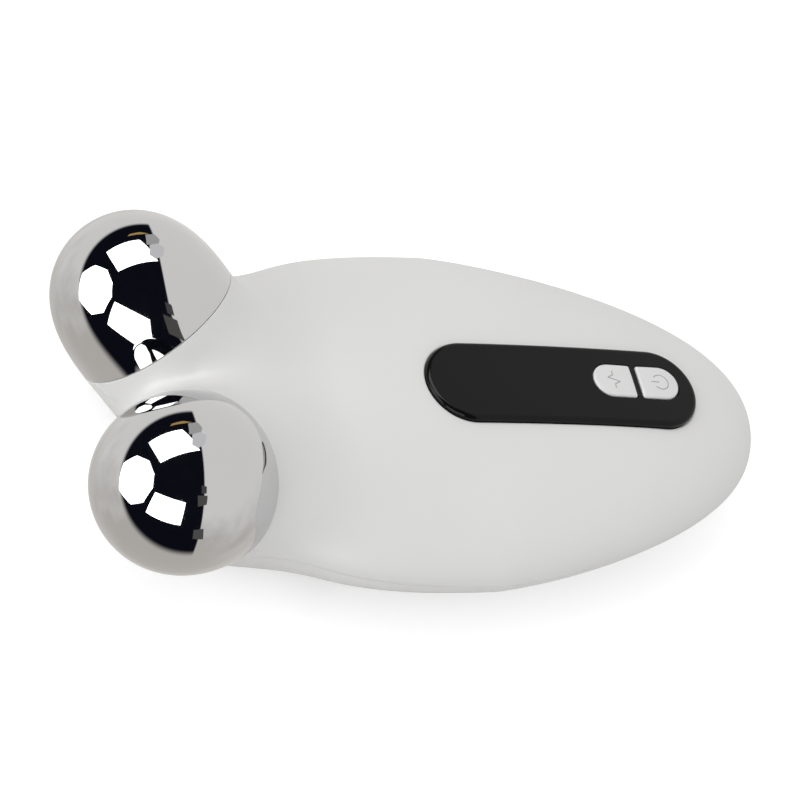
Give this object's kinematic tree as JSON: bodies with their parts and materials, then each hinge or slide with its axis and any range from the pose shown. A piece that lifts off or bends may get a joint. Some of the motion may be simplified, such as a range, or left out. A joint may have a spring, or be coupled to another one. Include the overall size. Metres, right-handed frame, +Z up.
{
  "type": "facial toning device",
  "caption": "Hand-held facial toning device: an egg-shaped housing with splayed chrome rollers, a long control panel and push buttons.",
  "frame": {"origin": "middle of the bounding box on the surface that the device rests on", "axes": "+X along the body to its tail, -X towards the rollers; +Y towards the user's right; +Z up, out of the resting face"},
  "size_m": [0.1492, 0.0792, 0.0424],
  "materials": {
    "body_white": "satin white moulded plastic",
    "panel_black": "gloss black moulded plastic",
    "button_grey": "satin light grey moulded plastic",
    "ball_chrome": "polished chrome plate",
    "seal_rubber": "black silicone rubber and foam",
    "screw_steel": "zinc-plated steel",
    "axle_steel": "turned stainless steel",
    "bush_brass": "sintered bronze",
    "inner_black": "black moulded plastic",
    "inner_grey": "grey glass-filled plastic",
    "inner_white": "natural acetal",
    "board_green": "green solder mask",
    "socket_steel": "formed stainless steel",
    "battery_foil": "foil pouch",
    "wire_red": "red silicone insulation"
  },
  "bodies": {
    "housing": {"upper_shell": "body_white", "lower_shell": "body_white", "shell_gasket": "seal_rubber", "housing_screws": "screw_steel", "control_panel": "panel_black", "mode_switch": "inner_black", "power_switch": "inner_black", "circuit_board": "board_green", "board_screws": "screw_steel", "charge_socket": "socket_steel", "battery": "battery_foil", "battery_pad": "seal_rubber", "battery_leads": "wire_red", "electrode_leads": "wire_red", "axle_bracket": "inner_grey", "bracket_screw": "screw_steel", "left_axle": "axle_steel", "right_axle": "axle_steel", "axle_screws": "screw_steel", "shaft_seals": "seal_rubber", "axle_clips": "axle_steel"},
    "left_roller": {"left_ball": "ball_chrome", "left_hub": "inner_white", "left_bushes": "bush_brass"},
    "right_roller": {"right_ball": "ball_chrome", "right_hub": "inner_white", "right_bushes": "bush_brass"},
    "mode_key": {"mode_button": "button_grey", "mode_plunger": "inner_black"},
    "power_key": {"power_button": "button_grey", "power_plunger": "inner_black"}
  },
  "joints": [
    {"name": "left_roller_spin", "type": "hinge", "parent": "housing", "child": "left_roller", "pos_m": [-0.05343, -0.0183, 0.0218], "axis": [-0.6551, -0.512, 0.5556], "continuous": true},
    {"name": "right_roller_spin", "type": "hinge", "parent": "housing", "child": "right_roller", "pos_m": [-0.05343, 0.0183, 0.0218], "axis": [-0.6551, 0.512, 0.5556], "continuous": true},
    {"name": "mode_button_press", "type": "slide", "parent": "housing", "child": "mode_key", "axis": [-0.0459, 0, -0.9989], "range_m": [0, 0.0005], "stiffness_N_per_m": 1200, "springref_m": -0.0003},
    {"name": "power_button_press", "type": "slide", "parent": "housing", "child": "power_key", "axis": [-0.0459, 0, -0.9989], "range_m": [0, 0.0005], "stiffness_N_per_m": 1200, "springref_m": -0.0003}
  ]
}
